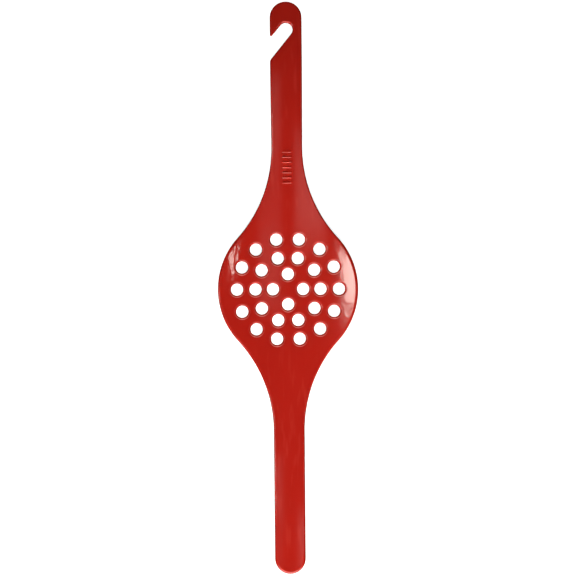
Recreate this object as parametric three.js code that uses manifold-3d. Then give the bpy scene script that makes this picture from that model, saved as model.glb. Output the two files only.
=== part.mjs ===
// Two-handled straining scoop, moulded in one piece of glossy red plastic.
//
// A shallow round bowl with rings of straining holes sits between two flat handles, so that the
// scoop can lie across a pot.  One handle ends in a slanted hanging slot, the other in a plain
// round end.  Units are millimetres.  The origin is the middle of the bowl's flat underside, +Y
// runs along the handles towards the hanging slot and +Z is the open side of the bowl.

import * as THREE from 'three';
import { LoftGeometry } from 'three/addons/geometries/LoftGeometry.js';
import { mergeVertices } from 'three/addons/utils/BufferGeometryUtils.js';
import Module from 'manifold-3d';

const wasm = await Module();
wasm.setup();

// ---- driving dimensions: outline seen from above ----
const HOOK_END = 191; // tip of the handle with the hanging slot
const PLAIN_END = 189; // tip of the other handle, on -Y
const BOWL_HALF_WIDTH = 46.7;
const BOWL_SIDE_RADIUS = 51.2; // arc of each side of the bowl
const FLARE_RADIUS = 90; // hollow arc from bowl to handle
const NECK_HALF_WIDTH = 10.3;
const HOOK_HALF_WIDTH = 10.6; // also the radius of that handle's round end
const PLAIN_HALF_WIDTH = 10.2;
const FULL_WIDTH_FROM = 145; // the handles taper up to this distance from the middle of the bowl

// ---- driving dimensions: height of the upper face ----
const FLOOR_HEIGHT = 2.1; // upper face at the middle of the bowl
const HANDLE_RISE = 12.5; // crest of each handle above the bowl's floor
const CREST = 165; // distance of that crest from the middle of the bowl
const DROOP_RADIUS = 420; // the handles bend down again past the crest
const CROSS_RADIUS = 118; // hollow curve across the bowl and the handles

// ---- driving dimensions: wall ----
const WALL = 2.4;
const HANDLE_CROWN = 1; // extra thickness along the middle of each handle
const CROWN_START = 50;
const CROWN_FULL = 110;
const EDGE_WIDTH = 1.2; // reach of the rounding along the outline, seen from above
const UPPER_EDGE_DROP = 1.9;
const LOWER_EDGE_DROP = 0.4;

// ---- driving dimensions: openings ----
const HOLE_RADIUS = 4;
const HOLE_RINGS = [
	{ radius: 10.1, count: 4 },
	{ radius: 21.7, count: 10 },
	{ radius: 34, count: 14 },
];
const SLOT_INSET = 18.7; // centre of the slot's round end below the handle's tip
const SLOT_HALF_WIDTH = 4.5;
const SLOT_ANGLE = THREE.MathUtils.degToRad( 231 ); // from the round end out through the -X edge
const BEAK_RADIUS = 0.9;
const MOUTH_RADIUS = 3;

// ---- driving dimensions: thumb ribs on the hook handle's neck ----
const RIB_COUNT = 7;
const RIB_START = 71;
const RIB_PITCH = 3.4;
const RIB_LENGTH = 6.4;
const RIB_WIDTH = 1.3;
const RIB_HEIGHT = 0.35;
const RIB_ROOT = 0.8;

// ---- fineness of the faceted solid ----
const ACROSS = 12;
const EDGE_STEPS = 2;
const CAP_STEPS = 6;
const STRAIGHT_STEPS = 4;
const TAPER_STEPS = 6;
const FLARE_STEPS = 9;
const BOWL_STEPS = 16;
const HOLE_SIDES = 24;
const SLOT_STEPS = 10; // in each of the slot's arcs
const MERGE_DISTANCE = 1e-4;
const CUT_HEIGHT = 40; // taller than the scoop

// ---- outline ----
const bowlArcX = BOWL_HALF_WIDTH - BOWL_SIDE_RADIUS;
const flareX = NECK_HALF_WIDTH + FLARE_RADIUS;
const flareY = Math.sqrt( ( BOWL_SIDE_RADIUS + FLARE_RADIUS ) ** 2 - ( flareX - bowlArcX ) ** 2 );
const joinY = flareY * BOWL_SIDE_RADIUS / ( BOWL_SIDE_RADIUS + FLARE_RADIUS );
const joinAngle = Math.asin( joinY / BOWL_SIDE_RADIUS );

const { clamp, lerp, smoothstep } = THREE.MathUtils;

function endOf( y ) {

	return y > 0
		? { radius: HOOK_HALF_WIDTH, start: HOOK_END - HOOK_HALF_WIDTH }
		: { radius: PLAIN_HALF_WIDTH, start: PLAIN_END - PLAIN_HALF_WIDTH };

}

function halfWidth( y ) {

	const along = Math.abs( y );
	const end = endOf( y );
	if ( along < joinY ) return bowlArcX + Math.sqrt( BOWL_SIDE_RADIUS ** 2 - along ** 2 );
	if ( along < flareY ) return flareX - Math.sqrt( FLARE_RADIUS ** 2 - ( flareY - along ) ** 2 );
	return lerp( NECK_HALF_WIDTH, end.radius, clamp( ( along - flareY ) / ( FULL_WIDTH_FROM - flareY ), 0, 1 ) );

}

// Distance from the handle's centre line, or from the centre of its round end past that.
function offCentre( x, y ) {

	return Math.hypot( x, Math.max( 0, Math.abs( y ) - endOf( y ).start ) );

}

// ---- upper and lower face ----
function centreHeight( y ) {

	const along = Math.abs( y );
	const rise = HANDLE_RISE * smoothstep( along, 0, CREST );
	const droop = Math.max( 0, along - CREST ) ** 2 / ( 2 * DROOP_RADIUS );
	return FLOOR_HEIGHT + rise - droop;

}

function topHeight( x, y ) {

	return centreHeight( y ) + offCentre( x, y ) ** 2 / ( 2 * CROSS_RADIUS );

}

function wallThickness( x, y ) {

	const crown = HANDLE_CROWN * smoothstep( Math.abs( y ), CROWN_START, CROWN_FULL );
	return WALL + crown * ( 1 - ( offCentre( x, y ) / halfWidth( y ) ) ** 2 );

}

// The lower face keeps its distance square to the upper one, and is flat where the scoop stands.
function bottomHeight( x, y ) {

	const step = 0.01;
	const slopeX = ( topHeight( x + step, y ) - topHeight( x - step, y ) ) / ( 2 * step );
	const slopeY = ( topHeight( x, y + step ) - topHeight( x, y - step ) ) / ( 2 * step );
	return Math.max( 0, topHeight( x, y ) - wallThickness( x, y ) * Math.hypot( 1, slopeX, slopeY ) );

}

// ---- solids ----
function solidFrom( geometry ) {

	const bare = new THREE.BufferGeometry();
	bare.setAttribute( 'position', geometry.getAttribute( 'position' ) );
	bare.setIndex( geometry.getIndex() );
	const merged = mergeVertices( bare, MERGE_DISTANCE );
	const corners = merged.getIndex().array;
	const triangles = [];
	for ( let i = 0; i < corners.length; i += 3 ) {

		const [ a, b, c ] = corners.slice( i, i + 3 );
		if ( a !== b && b !== c && c !== a ) triangles.push( a, b, c );

	}

	return new wasm.Manifold( new wasm.Mesh( {
		numProp: 3,
		vertProperties: new Float32Array( merged.getAttribute( 'position' ).array ),
		triVerts: new Uint32Array( triangles ),
	} ) );

}

function geometryFrom( solid ) {

	const { numProp, vertProperties, triVerts } = solid.getMesh();
	const geometry = new THREE.BufferGeometry();
	geometry.setAttribute( 'position', new THREE.BufferAttribute( new Float32Array( vertProperties ), numProp ) );
	geometry.setIndex( new THREE.BufferAttribute( new Uint32Array( triVerts ), 1 ) );
	geometry.computeVertexNormals();
	return geometry;

}

// Points of the outline's +X side from tip to tip, set in by the width of the edge's rounding, each
// with the direction that faces out of the outline there.
function insetSide() {

	const arc = ( x, y, radius, from, to, steps, facing ) =>
		Array.from( { length: steps + 1 }, ( _, k ) => {

			const angle = lerp( from, to, k / steps );
			const inset = radius - facing * EDGE_WIDTH;
			const spoke = new THREE.Vector2( Math.cos( angle ), Math.sin( angle ) );
			const point = new THREE.Vector2( x, y ).addScaledVector( spoke, inset );
			return { point, out: spoke.multiplyScalar( facing ) };

		} );
	const line = ( from, to, steps ) =>
		Array.from( { length: steps - 1 }, ( _, k ) => ( {
			point: from.clone().lerp( to, ( k + 1 ) / steps ),
			out: new THREE.Vector2( 1, 0 ),
		} ) );
	const handle = ( cap, side, flare ) => { // from the round end to the hollow arc

		const knee = new THREE.Vector2( cap.point.x, side * FULL_WIDTH_FROM );
		const straight = line( cap.point, knee, STRAIGHT_STEPS );
		const taper = line( knee, flare.point, TAPER_STEPS );
		return [ ...straight, { point: knee, out: cap.out }, ...taper ];

	};

	const half = Math.PI / 2;
	const hook = endOf( 1 );
	const plain = endOf( - 1 );
	const plainCap = arc( 0, - plain.start, plain.radius, - half, 0, CAP_STEPS, 1 );
	const plainFlare = arc( flareX, - flareY, FLARE_RADIUS, Math.PI, Math.PI - joinAngle, FLARE_STEPS, - 1 );
	const bowl = arc( bowlArcX, 0, BOWL_SIDE_RADIUS, - joinAngle, joinAngle, BOWL_STEPS, 1 );
	const hookFlare = arc( flareX, flareY, FLARE_RADIUS, Math.PI + joinAngle, Math.PI, FLARE_STEPS, - 1 );
	const hookCap = arc( 0, hook.start, hook.radius, 0, half, CAP_STEPS, 1 );
	return [
		...plainCap,
		...handle( plainCap.at( - 1 ), - 1, plainFlare[ 0 ] ),
		...plainFlare.slice( 0, - 1 ),
		...bowl,
		...hookFlare.slice( 1 ),
		...handle( hookCap[ 0 ], 1, hookFlare.at( - 1 ) ).reverse(),
		...hookCap,
	];

}

// One closed ring round the wall: upper face, +X edge, lower face, -X edge.
function wallSection( { point, out } ) {

	const section = [];
	const add = ( x, y, z ) => section.push( new THREE.Vector3( x, y, z ) );
	const acrossX = ( i ) => point.x * ( 2 * i / ACROSS - 1 );
	const edge = ( side, isTop, k ) => {

		const turn = k / EDGE_STEPS * Math.PI / 2;
		const reach = EDGE_WIDTH * Math.sin( turn );
		const drop = ( isTop ? UPPER_EDGE_DROP : LOWER_EDGE_DROP ) * ( 1 - Math.cos( turn ) );
		const x = side * ( point.x + out.x * reach );
		const y = point.y + out.y * reach;
		add( x, y, isTop ? topHeight( x, y ) - drop : bottomHeight( x, y ) + drop );

	};

	for ( let i = 0; i <= ACROSS; i ++ ) add( acrossX( i ), point.y, topHeight( acrossX( i ), point.y ) );
	for ( let k = 1; k <= EDGE_STEPS; k ++ ) edge( 1, true, k );
	for ( let k = EDGE_STEPS; k >= 1; k -- ) edge( 1, false, k );
	for ( let i = ACROSS; i >= 0; i -- ) add( acrossX( i ), point.y, bottomHeight( acrossX( i ), point.y ) );
	for ( let k = 1; k <= EDGE_STEPS; k ++ ) edge( - 1, false, k );
	for ( let k = EDGE_STEPS; k >= 1; k -- ) edge( - 1, true, k );
	return section;

}

function plate() {

	return solidFrom( new LoftGeometry( insetSide().map( wallSection ) ) );

}

function strainingHoles() {

	const holes = HOLE_RINGS.flatMap( ( { radius, count } ) =>
		Array.from( { length: count }, ( _, k ) => {

			const angle = 2 * Math.PI * k / count;
			const cutter = new THREE.CylinderGeometry( HOLE_RADIUS, HOLE_RADIUS, CUT_HEIGHT, HOLE_SIDES );
			cutter.rotateX( Math.PI / 2 );
			cutter.translate( radius * Math.cos( angle ), radius * Math.sin( angle ), 0 );
			return solidFrom( cutter );

		} ) );
	return wasm.Manifold.union( holes );

}

// A straight slot with one round end.  Both corners of its mouth are rounded into the handle's edge.
function hangingSlot() {

	const centre = new THREE.Vector2( 0, HOOK_END - SLOT_INSET );
	const across = new THREE.Vector2( Math.sin( SLOT_ANGLE ), - Math.cos( SLOT_ANGLE ) );
	const acrossAngle = across.angle();
	const edgeX = - HOOK_HALF_WIDTH;
	const outside = edgeX - SLOT_HALF_WIDTH;
	const cornerCentre = ( radius, side ) => {

		const x = edgeX + radius;
		return new THREE.Vector2( x, centre.y + ( side * ( SLOT_HALF_WIDTH + radius ) - x * across.x ) / across.y );

	};

	const beak = cornerCentre( BEAK_RADIUS, 1 );
	const mouth = cornerCentre( MOUTH_RADIUS, - 1 );
	const outline = new THREE.Shape();
	outline.absarc( centre.x, centre.y, SLOT_HALF_WIDTH, acrossAngle - Math.PI, acrossAngle, false );
	outline.absarc( beak.x, beak.y, BEAK_RADIUS, acrossAngle - Math.PI, - Math.PI, true );
	outline.lineTo( outside, beak.y );
	outline.lineTo( outside, mouth.y );
	outline.absarc( mouth.x, mouth.y, MOUTH_RADIUS, Math.PI, acrossAngle, true );
	return solidFrom( new THREE.ExtrudeGeometry( outline, {
		depth: CUT_HEIGHT,
		bevelEnabled: false,
		curveSegments: SLOT_STEPS,
	} ) );

}

function thumbRibs() {

	const ribs = Array.from( { length: RIB_COUNT }, ( _, k ) => {

		const y = RIB_START + k * RIB_PITCH;
		const rib = new THREE.BoxGeometry( RIB_LENGTH, RIB_WIDTH, RIB_HEIGHT + RIB_ROOT );
		rib.translate( 0, y, topHeight( 0, y ) + ( RIB_HEIGHT - RIB_ROOT ) / 2 );
		return solidFrom( rib );

	} );
	return wasm.Manifold.union( ribs );

}

// ---- the one moulded piece ----
const redPlastic = new THREE.MeshStandardMaterial( { color: 0xb42014, roughness: 0.12, metalness: 0 } );

function strainerBody() {

	const solid = plate().subtract( strainingHoles() ).subtract( hangingSlot() ).add( thumbRibs() );
	const mesh = new THREE.Mesh( geometryFrom( solid ), redPlastic );
	mesh.name = 'strainer_body';
	return mesh;

}

const strainer = new THREE.Group();
strainer.add( strainerBody() );

export default strainer;
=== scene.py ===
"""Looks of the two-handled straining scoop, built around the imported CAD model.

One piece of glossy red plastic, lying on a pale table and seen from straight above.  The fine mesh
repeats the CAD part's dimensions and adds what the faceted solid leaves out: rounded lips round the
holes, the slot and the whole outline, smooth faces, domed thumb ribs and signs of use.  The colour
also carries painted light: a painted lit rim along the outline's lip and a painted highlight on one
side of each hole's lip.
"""

import math
import bpy
import numpy as np
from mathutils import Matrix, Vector
from mathutils.geometry import delaunay_2d_cdt
from mathutils.kdtree import KDTree


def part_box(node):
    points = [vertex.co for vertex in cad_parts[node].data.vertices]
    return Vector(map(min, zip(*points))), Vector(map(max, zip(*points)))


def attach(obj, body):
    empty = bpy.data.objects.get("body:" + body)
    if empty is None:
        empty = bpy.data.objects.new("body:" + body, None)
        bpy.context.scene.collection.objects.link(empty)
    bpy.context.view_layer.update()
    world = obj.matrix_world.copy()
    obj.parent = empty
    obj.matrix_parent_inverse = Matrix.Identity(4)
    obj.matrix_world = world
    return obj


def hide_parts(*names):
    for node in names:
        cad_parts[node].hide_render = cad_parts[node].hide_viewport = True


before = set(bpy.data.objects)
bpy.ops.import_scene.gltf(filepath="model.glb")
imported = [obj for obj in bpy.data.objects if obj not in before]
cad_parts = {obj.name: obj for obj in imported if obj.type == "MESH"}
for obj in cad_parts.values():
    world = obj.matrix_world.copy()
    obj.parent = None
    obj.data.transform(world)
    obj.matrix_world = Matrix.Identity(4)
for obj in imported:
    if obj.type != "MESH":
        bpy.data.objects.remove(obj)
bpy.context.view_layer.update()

NODE = "strainer_body"
low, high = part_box(NODE)

MM = 0.001

# ---- outline seen from above, as in the CAD part ----
HOOK_END = high.y
PLAIN_END = -low.y
BOWL_HALF_WIDTH = high.x
BOWL_SIDE_RADIUS = 51.2 * MM
FLARE_RADIUS = 90 * MM
NECK_HALF_WIDTH = 10.3 * MM
HOOK_HALF_WIDTH = 10.6 * MM
PLAIN_HALF_WIDTH = 10.2 * MM
FULL_WIDTH_FROM = 145 * MM

# ---- height of the upper face ----
FLOOR_HEIGHT = 2.1 * MM
HANDLE_RISE = 12.5 * MM
CREST = 165 * MM
DROOP_RADIUS = 420 * MM
CROSS_RADIUS = 118 * MM

# ---- wall ----
WALL = 2.4 * MM
HANDLE_CROWN = 1 * MM
CROWN_START = 50 * MM
CROWN_FULL = 110 * MM

# ---- rounded edges: widths seen from above, drops seen from the side ----
EDGE_WIDTH = 1.2 * MM
BROAD_EDGE_WIDTH = 2.0 * MM  # round the bowl and the handles' ends
BROAD_EDGE_UNTIL = 0.6 * BOWL_HALF_WIDTH  # along the scoop, where the bowl's begins to narrow
BEAK_EDGE_WIDTH = 0.6 * MM
BEAK_EDGE_GROWTH = 0.15  # widening per distance from the beak
HOLE_EDGE_WIDTH = 1.5 * MM
UPPER_EDGE_DROP = 1.9 * MM
UPPER_HOLE_DROP = 1.5 * MM
LOWER_EDGE_DROP = 0.4 * MM

# ---- openings ----
HOLE_RADIUS = 4 * MM
HOLE_RINGS = ((10.1 * MM, 4), (21.7 * MM, 10), (34 * MM, 14))
SLOT_INSET = 18.7 * MM
SLOT_HALF_WIDTH = 4.5 * MM
SLOT_ANGLE = math.radians(231)
BEAK_RADIUS = 0.9 * MM
MOUTH_RADIUS = 3 * MM

# ---- thumb ribs ----
RIB_COUNT = 7
RIB_START = 71 * MM
RIB_PITCH = 3.4 * MM
RIB_LENGTH = 6.4 * MM
RIB_WIDTH = 1.3 * MM
RIB_HEIGHT = 0.35 * MM
RIB_TOP = 0.1 * RIB_WIDTH  # half width of the level stripe on a rib's dome
RIB_POLISH = 0.3 * RIB_WIDTH
RIB_REACH = (RIB_LENGTH - RIB_WIDTH) / 2

# ---- fineness of the mesh ----
GRID = 1.6 * MM
CLOSEST_TO_RINGS = 0.55 * GRID
CLOSEST_TO_RIBS = 0.3 * GRID
SHOULDER = 1.1 * MM  # a row of points follows the outline, this far inside its rounding
EDGE_SPACING = 1.0 * MM
SHORTEST_RUN = 0.3 * EDGE_SPACING
ARC_STEP = math.radians(11)
HOLE_SIDES = 48
LIP_STEPS = 6
RIB_LENGTH_POINTS = 12
RIB_END_POINTS = 7
RIB_RINGS = (0.1, 0.22, 0.34, 0.5)  # shares of a rib's width
SLOPE_STEP = 0.02 * MM

# ---- wear and painted light ----
LIP_WEAR_AND_LIGHT_TURN = math.radians(15)
LIP_WEAR_AND_LIGHT_SPREAD = math.radians(15)
OUTLINE_RUB_AND_LIT_RIM = 0.3  # polish on the outline's lip, which also paints a lit rim on it
END_RUB_AND_LIT_RIM = 0.7  # and round the handles' ends, a stronger painted lit rim
HIGHLIGHT_ALL_ROUND = 0.08  # share of the painted highlight's strongest part that the rest of a hole's lip has
WAVY_UNTIL = 26 * MM  # the surface is uneven up to here along the scoop
EVEN_FROM = 60 * MM

# ---- colours ----
RED = (0.450, 0.0135, 0.0076, 1)
LIGHTER_RED = (0.480, 0.0150, 0.0086, 1)
STREAK_COLOUR = (0.72, 0.065, 0.05, 1)
# lighter red of polish on the thumb ribs, also used as a painted lit rim along the outline's lip
RUBBED_AND_LIT_RIM_COLOUR = (0.56, 0.022, 0.011, 1)
# pale pink of the painted highlight on the holes' lips
PAINTED_HIGHLIGHT_COLOUR = (1.0, 0.38, 0.32, 1)
LIGHT_COLOUR = (1.0, 0.96, 0.87)
ROOM_COLOUR = (0.02, 0.02, 0.02, 1)
WHITE = (1, 1, 1, 1)

# ---- derived outline ----
bowl_arc_x = BOWL_HALF_WIDTH - BOWL_SIDE_RADIUS
flare_x = NECK_HALF_WIDTH + FLARE_RADIUS
flare_y = math.sqrt((BOWL_SIDE_RADIUS + FLARE_RADIUS) ** 2 - (flare_x - bowl_arc_x) ** 2)
join_y = flare_y * BOWL_SIDE_RADIUS / (BOWL_SIDE_RADIUS + FLARE_RADIUS)
join_angle = math.asin(join_y / BOWL_SIDE_RADIUS)
hook_centre_y = HOOK_END - HOOK_HALF_WIDTH
plain_centre_y = PLAIN_END - PLAIN_HALF_WIDTH
slot_centre = np.array([0, HOOK_END - SLOT_INSET])
slot_along = np.array([math.cos(SLOT_ANGLE), math.sin(SLOT_ANGLE)])
slot_across = np.array([math.sin(SLOT_ANGLE), -math.cos(SLOT_ANGLE)])


def smoothstep(value, start, stop):
    t = np.clip((value - start) / (stop - start), 0, 1)
    return t * t * (3 - 2 * t)


def half_width(y):
    """Half the scoop's width at y, with the round ends left square."""
    along = np.abs(y)
    bowl = bowl_arc_x + np.sqrt(np.maximum(BOWL_SIDE_RADIUS**2 - along**2, 0))
    flare = flare_x - np.sqrt(np.maximum(FLARE_RADIUS**2 - (flare_y - along) ** 2, 0))
    end = np.where(y > 0, HOOK_HALF_WIDTH, PLAIN_HALF_WIDTH)
    taper = np.clip((along - flare_y) / (FULL_WIDTH_FROM - flare_y), 0, 1)
    handle = NECK_HALF_WIDTH + (end - NECK_HALF_WIDTH) * taper
    return np.where(along < join_y, bowl, np.where(along < flare_y, flare, handle))


def off_centre(x, y):
    """Distance from the centre line, or from the centre of a round end past that."""
    past = np.maximum(0, np.abs(y) - np.where(y > 0, hook_centre_y, plain_centre_y))
    return np.hypot(x, past)


def centre_height(y):
    along = np.abs(y)
    rise = HANDLE_RISE * smoothstep(along, 0, CREST)
    droop = np.maximum(0, along - CREST) ** 2 / (2 * DROOP_RADIUS)
    return FLOOR_HEIGHT + rise - droop


def plate_height(x, y):
    """The upper face without its ribs."""
    return centre_height(y) + off_centre(x, y) ** 2 / (2 * CROSS_RADIUS)


def rib_distance(x, y, index):
    """Distance from the middle line of one thumb rib."""
    return np.hypot(np.maximum(0, np.abs(x) - RIB_REACH), y - RIB_START - index * RIB_PITCH)


def top_height(x, y):
    ribs = 0
    for k in range(RIB_COUNT):
        ribs += 1 - smoothstep(rib_distance(x, y, k), RIB_TOP, RIB_WIDTH / 2)
    return plate_height(x, y) + RIB_HEIGHT * ribs


def slopes(height, x, y):
    step = SLOPE_STEP
    along_x = (height(x + step, y) - height(x - step, y)) / (2 * step)
    along_y = (height(x, y + step) - height(x, y - step)) / (2 * step)
    return along_x, along_y


def wall_thickness(x, y):
    crown = HANDLE_CROWN * smoothstep(np.abs(y), CROWN_START, CROWN_FULL)
    return WALL + crown * (1 - (off_centre(x, y) / half_width(y)) ** 2)


def bottom_height(x, y):
    """The lower face keeps its distance square to the upper one, and is flat where it stands."""
    along_x, along_y = slopes(plate_height, x, y)
    depth = wall_thickness(x, y) * np.sqrt(1 + along_x**2 + along_y**2)
    return np.maximum(0, plate_height(x, y) - depth)


# ---- loops round the outline and the holes ----
def slot_corner(radius, side):
    """Centre of a rounded corner of the slot's mouth, touching the slot and the handle's edge."""
    x = radius - HOOK_HALF_WIDTH
    y = slot_centre[1] + (side * (SLOT_HALF_WIDTH + radius) - x * slot_across[0]) / slot_across[1]
    return x, y


def outline_arcs():
    """The outline anticlockwise, from arc to arc, with straight runs between them.  Each arc has
    its centre, radius, first and last angle, and +1 if it bulges or -1 if it is hollow.  An arc of
    radius 0 is a plain corner."""
    half, full = math.pi / 2, math.pi
    upper = math.atan2(slot_across[1], slot_across[0])
    beak = slot_corner(BEAK_RADIUS, 1)
    mouth = slot_corner(MOUTH_RADIUS, -1)
    return [
        (0, -plain_centre_y, PLAIN_HALF_WIDTH, -full, 0, 1),
        (PLAIN_HALF_WIDTH, -FULL_WIDTH_FROM, 0, 0, 0, 1),
        (flare_x, -flare_y, FLARE_RADIUS, full, full - join_angle, -1),
        (bowl_arc_x, 0, BOWL_SIDE_RADIUS, -join_angle, join_angle, 1),
        (flare_x, flare_y, FLARE_RADIUS, full + join_angle, full, -1),
        (HOOK_HALF_WIDTH, FULL_WIDTH_FROM, 0, 0, 0, 1),
        (0, hook_centre_y, HOOK_HALF_WIDTH, 0, full, 1),
        (*beak, BEAK_RADIUS, full, upper + full, 1),
        (*slot_centre, SLOT_HALF_WIDTH, upper, upper - full, -1),
        (*mouth, MOUTH_RADIUS, upper, full, 1),
        (-HOOK_HALF_WIDTH, FULL_WIDTH_FROM, 0, full, full, 1),
        (-flare_x, flare_y, FLARE_RADIUS, 0, -join_angle, -1),
        (-bowl_arc_x, 0, BOWL_SIDE_RADIUS, full - join_angle, full + join_angle, 1),
        (-flare_x, -flare_y, FLARE_RADIUS, join_angle, 0, -1),
        (-PLAIN_HALF_WIDTH, -FULL_WIDTH_FROM, 0, full, full, 1),
    ]


def trace_arc(x, y, radius, start, stop, facing):
    step = min(ARC_STEP, EDGE_SPACING / radius) if radius else ARC_STEP
    angles = np.linspace(start, stop, math.ceil(abs(stop - start) / step) + 1)
    spokes = np.column_stack([np.cos(angles), np.sin(angles)])
    return np.array([x, y]) + radius * spokes, facing * spokes


def trace_outline():
    """Points round the outline, and the direction that faces out of the plastic at each."""
    arcs = [trace_arc(*a) for a in outline_arcs()]
    points, normals = [], []
    for (here, facing), (following, _) in zip(arcs, arcs[1:] + arcs[:1]):
        run = following[0] - here[-1]
        length = np.hypot(*run)
        points.append(here)
        normals.append(facing)
        if length < SHORTEST_RUN:
            points[-1], normals[-1] = here[:-1], facing[:-1]
            continue
        share = np.linspace(0, 1, math.ceil(length / EDGE_SPACING) + 1)[1:-1, None]
        points.append(here[-1] + share * run)
        normals.append(np.tile([run[1] / length, -run[0] / length], (len(share), 1)))
    return np.vstack(points), np.vstack(normals)


def trace_hole(x, y):
    angles = np.arange(HOLE_SIDES) * 2 * math.pi / HOLE_SIDES
    spokes = np.column_stack([np.cos(angles), np.sin(angles)])
    return np.array([x, y]) + HOLE_RADIUS * spokes, -spokes


def end_share(y):
    """0 along most of the scoop, rising to 1 round the handles' ends."""
    return smoothstep(np.abs(y), plain_centre_y - PLAIN_HALF_WIDTH / 2, plain_centre_y)


def edge_widths(points):
    """Width of the rounding along the outline: broad round the bowl and the handles' ends, narrower
    along the handles and least at the slot's beak."""
    y = points[:, 1, None]
    on_handle = smoothstep(np.abs(y), BROAD_EDGE_UNTIL, BOWL_HALF_WIDTH) * (1 - end_share(y))
    from_beak = np.hypot(*(points - slot_corner(BEAK_RADIUS, 1)).T)[:, None]
    width = BROAD_EDGE_WIDTH + (EDGE_WIDTH - BROAD_EDGE_WIDTH) * on_handle
    return np.minimum(width, BEAK_EDGE_WIDTH + BEAK_EDGE_GROWTH * from_beak)


def outline_rub_and_lit_rim(points):
    """Polish along the outline's lip and a painted lit rim on it, most round the handles' ends."""
    return OUTLINE_RUB_AND_LIT_RIM + (END_RUB_AND_LIT_RIM - OUTLINE_RUB_AND_LIT_RIM) * end_share(points[:, 1])


def hole_centres():
    for radius, count in HOLE_RINGS:
        for k in range(count):
            angle = 2 * math.pi * k / count
            yield radius * math.cos(angle), radius * math.sin(angle)


# ---- the fine mesh ----
class Surface:
    """Gathers the faces, and the points with their normals, how much they are polished by use and
    lightened by a painted lit rim, and how strong a painted highlight they have."""

    def __init__(self):
        self.points, self.normals, self.rubbed, self.scuffed, self.faces = [], [], [], [], []
        self.count = 0

    def add(self, xy, z, normals, rubbed, scuffed):
        first = self.count
        self.points.append(np.column_stack([xy, z]))
        self.normals.append(normals / np.linalg.norm(normals, axis=1, keepdims=True))
        self.rubbed.append(np.broadcast_to(rubbed, len(xy)))
        self.scuffed.append(np.broadcast_to(scuffed, len(xy)))
        self.count += len(xy)
        return np.arange(first, self.count)

    def strip(self, upper, lower):
        """Quads between two closed rings of as many points."""
        for a, b, c, d in zip(upper, np.roll(upper, -1), np.roll(lower, -1), lower):
            self.faces.append((a, d, c, b))


def face_points(surface, xy, is_top, rubbed):
    height = top_height if is_top else bottom_height
    along_x, along_y = slopes(height, *xy.T)
    up = 1 if is_top else -1
    normals = np.column_stack([-up * along_x, -up * along_y, np.full(len(xy), up)])
    return surface.add(xy, height(*xy.T), normals, rubbed, 0)


def lip_wear_and_painted_light(turn):
    """Strength of the polish and painted light along a lip, most where it begins to turn down."""
    return max(0, 1 - abs(turn - LIP_WEAR_AND_LIGHT_TURN) / LIP_WEAR_AND_LIGHT_SPREAD)


def hole_painted_highlight(outward):
    """The holes' lips have a painted highlight, strongest on the side nearer the plain handle."""
    return HIGHLIGHT_ALL_ROUND + (1 - HIGHLIGHT_ALL_ROUND) * np.maximum(0, outward[:, 1]) ** 3


def lip_ring(surface, loop, drop, turn, is_top, rubbed, scuffed):
    """One ring of a rounded lip: turn 0 lies in the face and a quarter turn on the upright wall."""
    points, outward, width = loop
    xy = points - outward * width * (1 - math.sin(turn))
    height, up = (top_height, 1) if is_top else (bottom_height, -1)
    along = np.column_stack(slopes(height, *xy.T))
    level = width * math.cos(turn)
    steep = drop * math.sin(turn)
    normals = np.column_stack([outward * steep - up * along * level, up * level])
    z = height(*xy.T) - up * drop * (1 - math.cos(turn))
    return surface.add(xy, z, normals, rubbed * lip_wear_and_painted_light(turn), scuffed * lip_wear_and_painted_light(turn))


def add_lips(surface, loop, top, bottom, is_hole):
    """The upper and lower lips round one loop, from its points on the two faces, and the wall
    between them."""
    points, outward, _ = loop
    # the outline's lip gets polish and a painted lit rim, a hole's lip a painted highlight
    drop, rubbed, scuffed = UPPER_EDGE_DROP, outline_rub_and_lit_rim(points), 0
    if is_hole:
        drop, rubbed, scuffed = UPPER_HOLE_DROP, 0, hole_painted_highlight(outward)
    upper, lower = [top], [bottom]
    turns = [k / LIP_STEPS * math.pi / 2 for k in range(1, LIP_STEPS + 1)]
    for turn in turns:
        upper.append(lip_ring(surface, loop, drop, turn, True, rubbed, scuffed))
    for turn in turns:
        lower.append(lip_ring(surface, loop, LOWER_EDGE_DROP, turn, False, rubbed, 0))
    chain = upper + lower[::-1]
    for above, below in zip(chain, chain[1:]):
        if is_hole:  # its points run anticlockwise too, with the plastic on their other side
            above, below = below, above
        surface.strip(above, below)


def inner_points(rings, shoulders):
    """An even triangular grid over the plastic, kept clear of the rings, the shoulders and the
    ribs, and the points on the shoulders and ribs."""
    rows = np.arange(-PLAIN_END, HOOK_END, GRID * math.sqrt(3) / 2)
    grid = []
    for k, y in enumerate(rows):
        columns = np.arange(-BOWL_HALF_WIDTH, BOWL_HALF_WIDTH, GRID) + (k % 2) * GRID / 2
        grid.append(np.column_stack([columns, np.full(len(columns), y)]))
    grid = np.vstack(grid)
    x, y = grid.T
    keep = off_centre(x, y) < half_width(y) - edge_widths(grid)[:, 0]
    from_slot = grid - slot_centre
    beside_slot = np.abs(from_slot @ slot_across) >= SLOT_HALF_WIDTH + EDGE_WIDTH
    keep &= beside_slot | (from_slot @ slot_along <= 0)
    keep &= np.hypot(*from_slot.T) > SLOT_HALF_WIDTH + EDGE_WIDTH
    for centre in hole_centres():
        keep &= np.hypot(*(grid - centre).T) > HOLE_RADIUS + HOLE_EDGE_WIDTH
    for k in range(RIB_COUNT):
        keep &= rib_distance(x, y, k) > RIB_WIDTH / 2 + CLOSEST_TO_RIBS
    nearly = 0.9  # a shoulder's point is dropped if some other stretch of a ring is this close
    shoulders = shoulders[distances(shoulders, np.vstack(rings)) > nearly * SHOULDER]
    grid = grid[keep]
    grid = grid[distances(grid, np.vstack([*rings, shoulders])) > CLOSEST_TO_RINGS]
    return np.vstack([shoulders, rib_rings(), grid])


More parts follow.
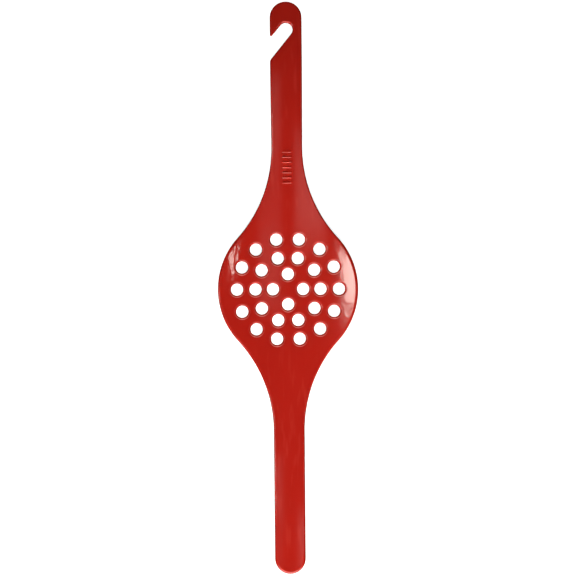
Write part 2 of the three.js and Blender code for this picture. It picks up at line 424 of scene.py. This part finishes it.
def distances(points, others):
    """Distance from each point to the nearest of the others."""
    tree = KDTree(len(others))
    for k, other in enumerate(others):
        tree.insert((*other, 0), k)
    tree.balance()
    return np.array([tree.find((*point, 0))[2] for point in points])


def rib_rings():
    """Rings of points on each rib's flank, so that the mesh follows its dome."""
    straight = np.linspace(-RIB_REACH, RIB_REACH, RIB_LENGTH_POINTS)
    turns = np.linspace(-math.pi / 2, math.pi / 2, RIB_END_POINTS + 2)[1:-1]
    found = []
    for k in range(RIB_COUNT):
        y = RIB_START + k * RIB_PITCH
        line = np.column_stack([straight, np.full(len(straight), y)])
        for share in RIB_RINGS:
            radius = share * RIB_WIDTH
            end = np.column_stack([RIB_REACH + radius * np.cos(turns), radius * np.sin(turns)])
            for side in (-1, 1):
                found.append(line + [0, side * radius])
                found.append(end * [side, 1] + [0, y])
        found.append(line)
    return np.vstack(found)


def is_within(points, ring):
    """Which points lie inside a closed ring, by counting how often a level ray crosses it."""
    x, y = points[:, 0, None], points[:, 1, None]
    (x1, y1), (x2, y2) = ring.T, np.roll(ring, -1, axis=0).T
    crosses = (y1 > y) != (y2 > y)
    at = x1 + (x2 - x1) * (y - y1) / np.where(y2 == y1, 1, y2 - y1)
    return (crosses & (x < at)).sum(axis=1) % 2 == 1


def triangulate(rings, shoulders):
    """Flat triangles over the plastic between the rings: their points, and corners in that order.
    The first ring is the outline and the others are holes."""
    inner = inner_points(rings, shoulders)
    points = np.vstack([*rings, inner])
    edges, first = [], 0
    for ring in rings:
        index = np.arange(len(ring))
        edges += [(first + a, first + b) for a, b in zip(index, np.roll(index, -1))]
        first += len(ring)
    vertices = [Vector(p) / MM for p in points]
    inside, tolerance = 1, 1e-6
    _, _, faces, origins, _, _ = delaunay_2d_cdt(vertices, edges, [], inside, tolerance, True)
    corners = np.array([[origins[v][0] for v in face] for face in faces])
    middle = points[corners].mean(axis=1)
    solid = is_within(middle, rings[0])
    for ring in rings[1:]:
        solid &= ~is_within(middle, ring)
    return points, corners[solid]


def waviness(surface):
    """The moulding is least even in the bowl, where the plastic flowed round the holes' pins."""
    along = np.abs(np.vstack(surface.points)[:, 1])
    return 1 - smoothstep(along, WAVY_UNTIL, EVEN_FROM)


def build_mesh():
    outline, outward = trace_outline()
    loops = [(outline, outward, edge_widths(outline))]
    for x, y in hole_centres():
        loops.append((*trace_hole(x, y), np.full((HOLE_SIDES, 1), HOLE_EDGE_WIDTH)))
    rings = [points - facing * width for points, facing, width in loops]
    flat, corners = triangulate(rings, rings[0] - outward * SHOULDER)
    surface = Surface()
    on_ribs = sum(rib_distance(*flat.T, k) < RIB_POLISH for k in range(RIB_COUNT))
    top = face_points(surface, flat, True, on_ribs)
    bottom = face_points(surface, flat, False, on_ribs)
    surface.faces += [tuple(c) for c in top[corners]]
    surface.faces += [tuple(c[::-1]) for c in bottom[corners]]
    first = 0
    for loop in loops:
        span = slice(first, first + len(loop[0]))
        add_lips(surface, loop, top[span], bottom[span], is_hole=first > 0)
        first = span.stop
    mesh = bpy.data.meshes.new("strainer_surface")
    mesh.from_pydata(np.vstack(surface.points), [], surface.faces)
    rubbed, scuffed = np.concatenate(surface.rubbed), np.concatenate(surface.scuffed)
    for name, values in (("rubbed", rubbed), ("scuffed", scuffed), ("wavy", waviness(surface))):
        mesh.attributes.new(name, "FLOAT", "POINT").data.foreach_set("value", values)
    mesh.shade_smooth()
    mesh.normals_split_custom_set_from_vertices(np.vstack(surface.normals))
    mesh.update()
    return mesh


# ---- material ----
def red_plastic():
    material = bpy.data.materials.new("red_plastic")
    material.use_nodes = True
    nodes, links = material.node_tree.nodes, material.node_tree.links
    nodes.clear()
    output = nodes.new("ShaderNodeOutputMaterial")
    shader = nodes.new("ShaderNodeBsdfPrincipled")
    links.new(shader.outputs["BSDF"], output.inputs["Surface"])
    place = nodes.new("ShaderNodeTexCoord").outputs["Object"]
    shader.inputs["IOR"].default_value = 1.5

    def noise(scale, detail=2.0, stretch=(1, 1, 1), shift=(0, 0, 0)):
        mapping = nodes.new("ShaderNodeMapping")
        mapping.inputs["Location"].default_value = shift
        mapping.inputs["Scale"].default_value = stretch
        links.new(place, mapping.inputs["Vector"])
        texture = nodes.new("ShaderNodeTexNoise")
        texture.inputs["Scale"].default_value = scale
        texture.inputs["Detail"].default_value = detail
        links.new(mapping.outputs["Vector"], texture.inputs["Vector"])
        return texture.outputs["Fac"]

    def remap(value, low_out, high_out, low_in=0.0, high_in=1.0):
        node = nodes.new("ShaderNodeMapRange")
        node.inputs["From Min"].default_value = low_in
        node.inputs["From Max"].default_value = high_in
        node.inputs["To Min"].default_value = low_out
        node.inputs["To Max"].default_value = high_out
        links.new(value, node.inputs["Value"])
        return node.outputs["Result"]

    def maths(operation, a, b):
        node = nodes.new("ShaderNodeMath")
        node.operation = operation
        links.new(a, node.inputs[0])
        links.new(b, node.inputs[1])
        return node.outputs["Value"]

    def attribute(name):
        node = nodes.new("ShaderNodeAttribute")
        node.attribute_name = name
        return node.outputs["Fac"]

    def bump(height, distance):
        node = nodes.new("ShaderNodeBump")
        node.inputs["Distance"].default_value = distance
        links.new(height, node.inputs["Height"])
        return node

    def mix_colours(factor, a, b):
        node = nodes.new("ShaderNodeMix")
        node.data_type = "RGBA"
        links.new(factor, node.inputs["Factor"])
        for colour, socket in ((a, node.inputs["A"]), (b, node.inputs["B"])):
            if isinstance(colour, tuple):
                socket.default_value = colour
            else:
                links.new(colour, socket)
        return node.outputs["Result"]

    rubbed, wavy_bowl = attribute("rubbed"), attribute("wavy")
    handles = remap(wavy_bowl, 1.0, 0.0)
    grain = noise(330, detail=1.0, stretch=(1, 0.12, 1))
    streaks = remap(grain, 0.0, 0.15, low_in=0.58, high_in=0.74)
    red = mix_colours(noise(60), RED, LIGHTER_RED)
    red = mix_colours(maths("MULTIPLY", streaks, handles), red, STREAK_COLOUR)
    # lighter where rubbed: polish on the thumb ribs, and a painted lit rim along the outline's lip
    red = mix_colours(remap(rubbed, 0.0, 0.8), red, RUBBED_AND_LIT_RIM_COLOUR)
    # painted highlight: a pale arc on each hole's lip, strongest on the side nearer the plain
    # handle
    red = mix_colours(attribute("scuffed"), red, PAINTED_HIGHLIGHT_COLOUR)
    links.new(red, shader.inputs["Base Color"])

    cloudy = noise(45, detail=3.0, stretch=(1, 0.35, 1))
    smears = remap(cloudy, 0.06, 0.11, low_in=0.3, high_in=0.7)
    roughness = maths("ADD", smears, remap(rubbed, 0.0, 0.12))
    links.new(roughness, shader.inputs["Roughness"])

    ripples = noise(150, detail=3.0, stretch=(1, 0.5, 1), shift=(-0.2, -0.67, 0.64))
    unevenness = bump(ripples, 0.14 * MM)
    links.new(remap(wavy_bowl, 0.15, 1.0), unevenness.inputs["Strength"])
    scratches = bump(noise(900, stretch=(1, 0.06, 1)), 0.004 * MM)
    scratches.inputs["Strength"].default_value = 0.25
    links.new(unevenness.outputs["Normal"], scratches.inputs["Normal"])
    links.new(scratches.outputs["Normal"], shader.inputs["Normal"])
    return material


# ---- the object ----
strainer = bpy.data.objects.new("strainer_surface", build_mesh())
bpy.context.scene.collection.objects.link(strainer)
strainer.data.materials.append(red_plastic())
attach(strainer, "root")
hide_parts(NODE)


# ---- table, light and camera ----
def pale_floor():
    """A white table, bright enough by itself to show no shadow, which the gloss doesn't mirror."""
    reach = 3.0
    level = -0.05 * MM  # clear of the scoop's foot, so that the two faces don't coincide
    corners = [(x * reach, y * reach, level) for x, y in ((-1, -1), (1, -1), (1, 1), (-1, 1))]
    mesh = bpy.data.meshes.new("floor")
    mesh.from_pydata(corners, [], [(0, 1, 2, 3)])
    floor = bpy.data.objects.new("floor", mesh)
    bpy.context.scene.collection.objects.link(floor)
    floor.visible_glossy = False
    floor.visible_diffuse = False
    material = bpy.data.materials.new("floor")
    material.use_nodes = True
    shader = material.node_tree.nodes["Principled BSDF"]
    shader.inputs["Base Color"].default_value = (0.9, 0.9, 0.9, 1)
    shader.inputs["Roughness"].default_value = 0.9
    shader.inputs["Specular IOR Level"].default_value = 0
    shader.inputs["Emission Color"].default_value = WHITE
    shader.inputs["Emission Strength"].default_value = 0.9
    mesh.materials.append(material)


def softbox(name, position, target, width, length, radiance):
    """A rectangular light that faces its target, with its width level and its length upwards."""
    light = bpy.data.lights.new(name, "AREA")
    light.shape = "RECTANGLE"
    light.size = width
    light.size_y = length
    light.energy = radiance * math.pi * width * length
    light.color = LIGHT_COLOUR
    lamp = bpy.data.objects.new(name, light)
    bpy.context.scene.collection.objects.link(lamp)
    lamp.location = position
    lamp.rotation_euler = (Vector(target) - Vector(position)).to_track_quat("-Z", "Y").to_euler()
    lamp.visible_camera = False
    return lamp


def panel(name, left, right, near, far, radiance):
    """A level light high above the table, given by where its sides are, in two layers of
    different size so that its sides are soft."""
    height, fade = 1.75, 0.03
    middle = Vector(((left + right) / 2, (near + far) / 2, 0))
    for grow, share in ((fade, 0.45), (-fade, 0.55)):
        above = middle + Vector((0, 0, height + grow))
        width, length = right - left + 2 * grow, far - near + 2 * grow
        softbox(name, above, middle, width, length, radiance * share)


def towards(azimuth, from_vertical, distance):
    """A place seen from the middle of the bowl, azimuth in degrees anticlockwise from +X."""
    a, v = math.radians(azimuth), math.radians(from_vertical)
    return distance * Vector((math.sin(v) * math.cos(a), math.sin(v) * math.sin(a), math.cos(v)))


def studio_light():
    middle = Vector((0, 0, 0))
    near_side = towards(-97, 67, 1.15) - Vector((0, 0.12, 0))
    softbox("near_side", near_side, middle, 2.0, 0.8, radiance=6.3)
    far_side = softbox("far_side", towards(90, 83, 1.0), middle, 0.8, 0.3, radiance=5.6)
    plain_half = Vector((0, -0.06, 0))
    over_plain_half = plain_half + Vector((0, 0, 0.25))
    over_bowl = softbox("over_bowl", over_plain_half, plain_half, 0.1, 0.1, radiance=9.2)
    for lamp in (far_side, over_bowl):  # give light, but aren't mirrored in the gloss
        lamp.visible_glossy = False
        lamp.data.cycles.use_multiple_importance_sampling = False  # else a faint image stays
    left = softbox("left", towards(185.6, 38.5, 1.0), middle, 0.19, 0.27, radiance=16)
    left.visible_diffuse = False  # mirrored in the gloss, but gives no light
    softbox("right", towards(-7, 31.5, 1.0), middle, 0.05, 0.05, radiance=14)
    panel("overhead_right", 0.13, 0.54, -0.235, 0.095, radiance=0.6)
    panel("overhead_right_dim", 0.13, 0.40, -0.55, -0.25, radiance=0.28)
    panel("overhead_left", -0.72, -0.165, -0.52, -0.18, radiance=1.05)


def surroundings():
    """A dim room, which the camera sees as white."""
    world = bpy.data.worlds.new("world")
    bpy.context.scene.world = world
    world.use_nodes = True
    nodes, links = world.node_tree.nodes, world.node_tree.links
    room = nodes["Background"]
    room.inputs["Color"].default_value = ROOM_COLOUR
    backdrop = nodes.new("ShaderNodeBackground")
    backdrop.inputs["Color"].default_value = WHITE
    mix = nodes.new("ShaderNodeMixShader")
    links.new(nodes.new("ShaderNodeLightPath").outputs["Is Camera Ray"], mix.inputs["Fac"])
    links.new(room.outputs["Background"], mix.inputs[1])
    links.new(backdrop.outputs["Background"], mix.inputs[2])
    links.new(mix.outputs["Shader"], nodes["World Output"].inputs["Surface"])


def overhead_camera():
    height = 1.6
    face_height = 10.5 * MM
    shown_width = 382.9 * MM  # at the height of the upper face
    off_centre_y = 0.8 * MM
    twist = math.radians(-0.52)
    camera = bpy.data.cameras.new("camera")
    camera.sensor_width = 36
    camera.lens = camera.sensor_width * (height - face_height) / shown_width
    camera.clip_end = 20
    holder = bpy.data.objects.new("camera", camera)
    bpy.context.scene.collection.objects.link(holder)
    holder.location = (0, off_centre_y, height)
    holder.rotation_euler = (0, 0, twist)
    bpy.context.scene.camera = holder


pale_floor()
studio_light()
surroundings()
overhead_camera()
bpy.context.scene.view_settings.view_transform = "Standard"
